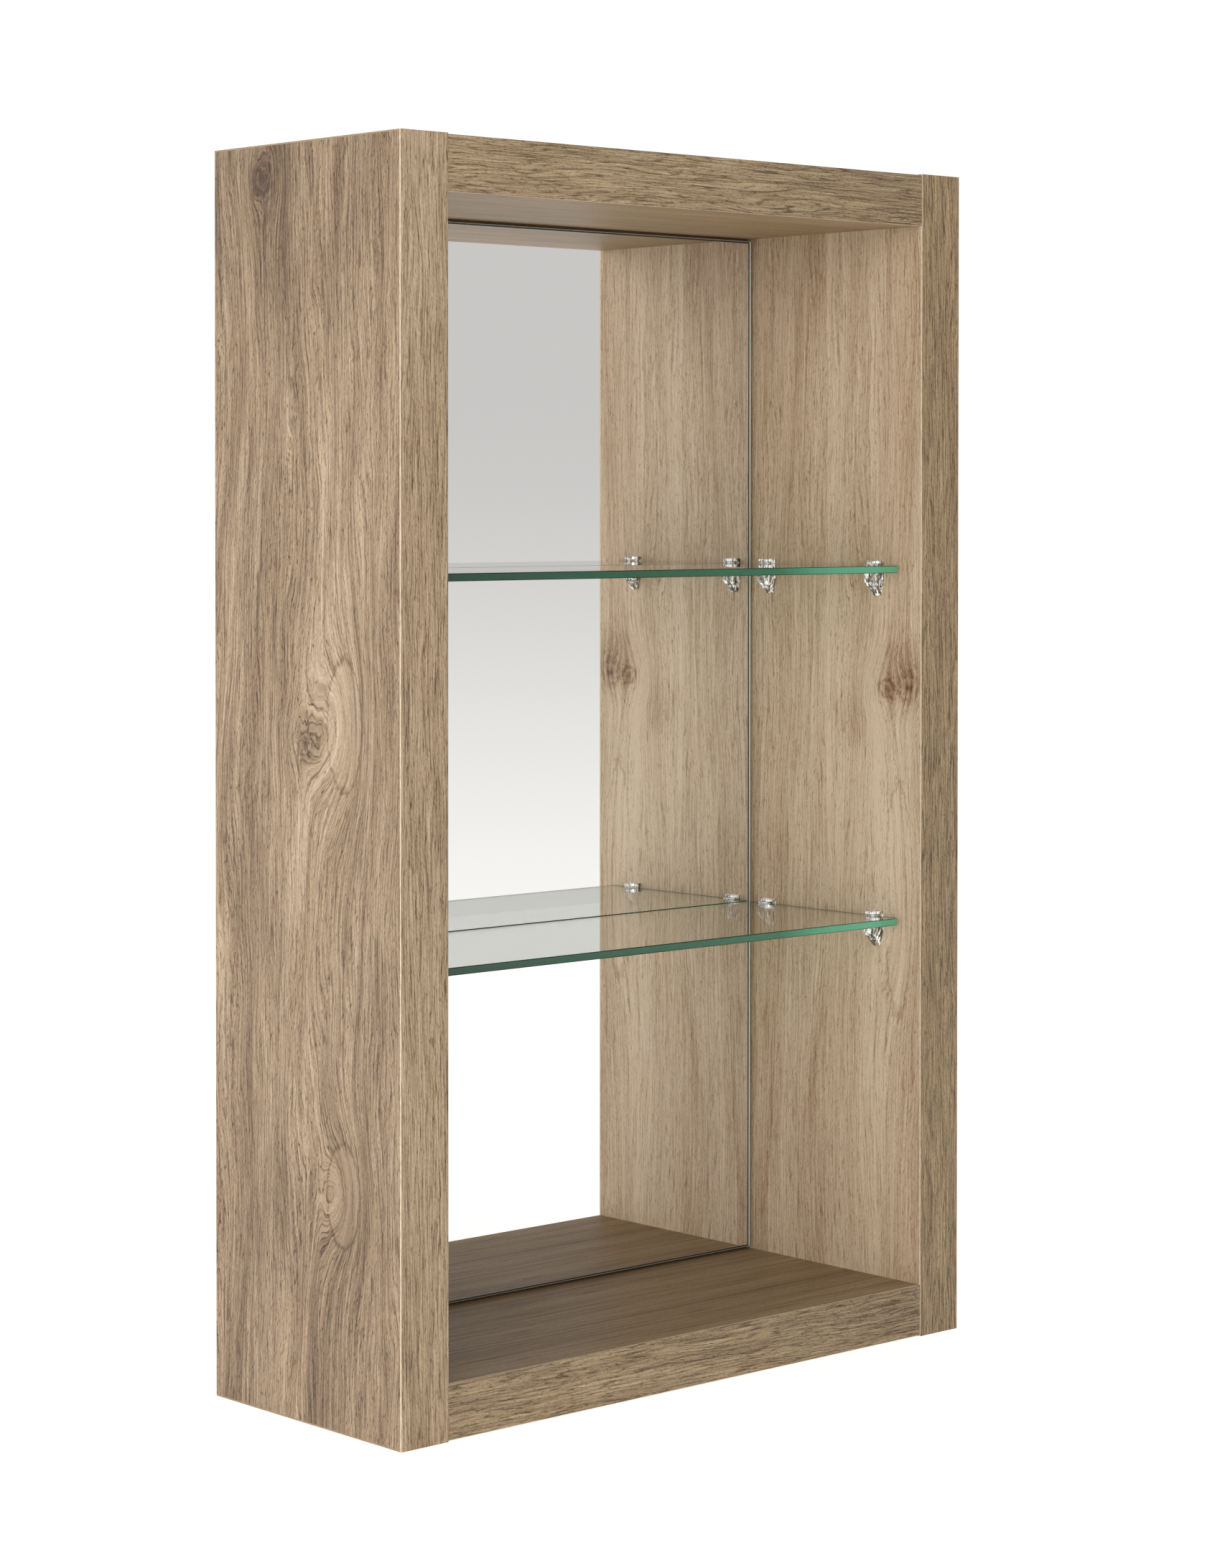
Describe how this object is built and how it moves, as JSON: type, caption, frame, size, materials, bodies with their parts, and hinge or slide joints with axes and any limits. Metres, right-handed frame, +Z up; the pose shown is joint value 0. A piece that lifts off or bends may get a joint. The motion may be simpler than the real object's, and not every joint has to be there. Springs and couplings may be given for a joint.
{
  "type": "display case",
  "caption": "Open wall-hung display case in oak decor with a mirror back, glass shelves on clear clips and keyhole hanger plates.",
  "frame": {"origin": "middle of the base, halfway between the sides and halfway between front and back", "axes": "+X to the viewer's right, +Y towards the wall behind the case, +Z up"},
  "size_m": [0.4, 0.15, 0.64],
  "materials": {
    "oak_board": "oak decor on chipboard, light grain texture, matt",
    "oak_band": "printed oak decor edge banding",
    "hardboard": "brown hardboard",
    "silvered_glass": "silvered float glass with a ground edge",
    "foam_tape": "double sided foam tape",
    "shelf_glass": "clear float glass with ground edges",
    "clear_plastic": "clear polished plastic",
    "zinc_fitting": "bright zinc",
    "cap_plastic": "moulded cap in the colour of the boards",
    "beech": "plain beech",
    "zinc_steel": "zinc plated steel"
  },
  "bodies": {
    "case": {"side_panel_left": "oak_board", "side_panel_right": "oak_board", "top_panel": "oak_board", "bottom_panel": "oak_board", "front_band_left": "oak_band", "front_band_right": "oak_band", "front_band_top": "oak_band", "front_band_bottom": "oak_band", "end_band_left_top": "oak_band", "end_band_left_bottom": "oak_band", "end_band_right_top": "oak_band", "end_band_right_bottom": "oak_band", "back_panel": "hardboard", "mirror": "silvered_glass", "mirror_tape": "foam_tape", "shelf_clip_upper_left_front": "clear_plastic", "shelf_clip_upper_left_rear": "clear_plastic", "shelf_clip_upper_right_front": "clear_plastic", "shelf_clip_upper_right_rear": "clear_plastic", "shelf_clip_lower_left_front": "clear_plastic", "shelf_clip_lower_left_rear": "clear_plastic", "shelf_clip_lower_right_front": "clear_plastic", "shelf_clip_lower_right_rear": "clear_plastic", "cam_bolts": "zinc_fitting", "cams": "zinc_fitting", "cam_caps_top": "cap_plastic", "cam_caps_bottom": "cap_plastic", "wooden_dowels": "beech", "hanger_plate_left": "zinc_steel", "hanger_plate_right": "zinc_steel", "hanger_screws": "zinc_steel"},
    "upper_shelf": {"glass_shelf_upper": "shelf_glass"},
    "lower_shelf": {"glass_shelf_lower": "shelf_glass"}
  },
  "joints": [
    {"name": "upper_shelf_slide", "type": "slide", "parent": "case", "child": "upper_shelf", "axis": [0, -1, 0], "range_m": [0, 0.15]},
    {"name": "lower_shelf_slide", "type": "slide", "parent": "case", "child": "lower_shelf", "axis": [0, -1, 0], "range_m": [0, 0.15]}
  ]
}
